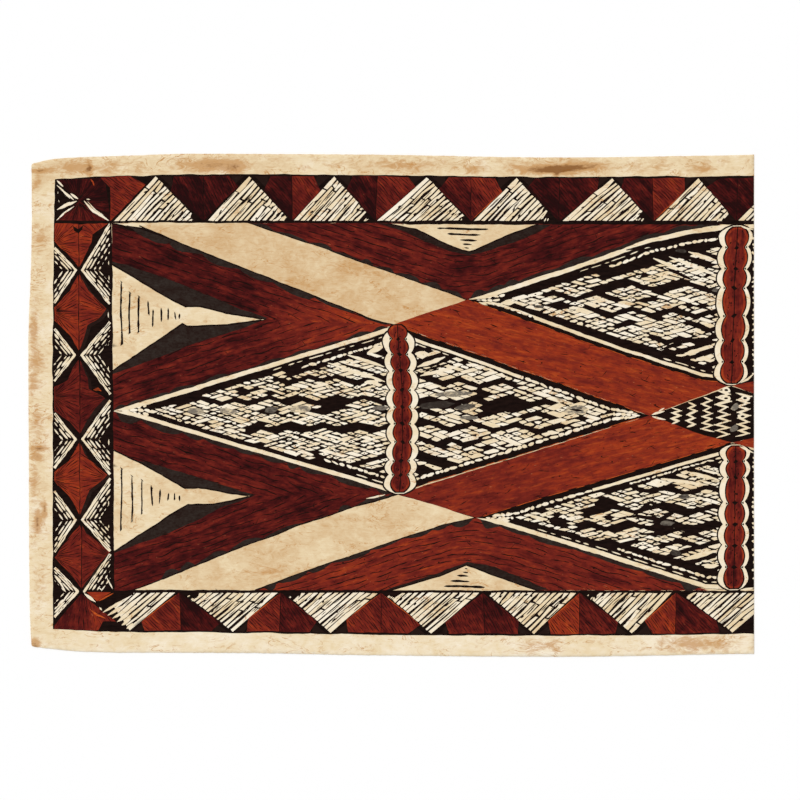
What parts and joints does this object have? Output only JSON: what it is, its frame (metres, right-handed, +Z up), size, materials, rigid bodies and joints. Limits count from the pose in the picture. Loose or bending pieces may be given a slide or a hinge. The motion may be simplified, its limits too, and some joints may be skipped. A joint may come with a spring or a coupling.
{
  "type": "painted bark cloth",
  "caption": "Flat rectangular sheet of beaten bark cloth, painted with bands, lozenges and triangle borders, with a trimmed uneven edge and one straight cut end.",
  "frame": {"origin": "centre of the sheet's bounding rectangle, on the surface it lies on", "axes": "+Z up out of the painted face, +X along the long side towards the straight cut end, +Y towards the top of the design"},
  "size_m": [0.936, 0.6488, 0.0012],
  "materials": {
    "painted_bark_cloth": "matt beaten bast fibre with brushed earth pigments"
  },
  "bodies": {
    "root": {"bark_cloth_sheet": "painted_bark_cloth"}
  },
  "joints": []
}
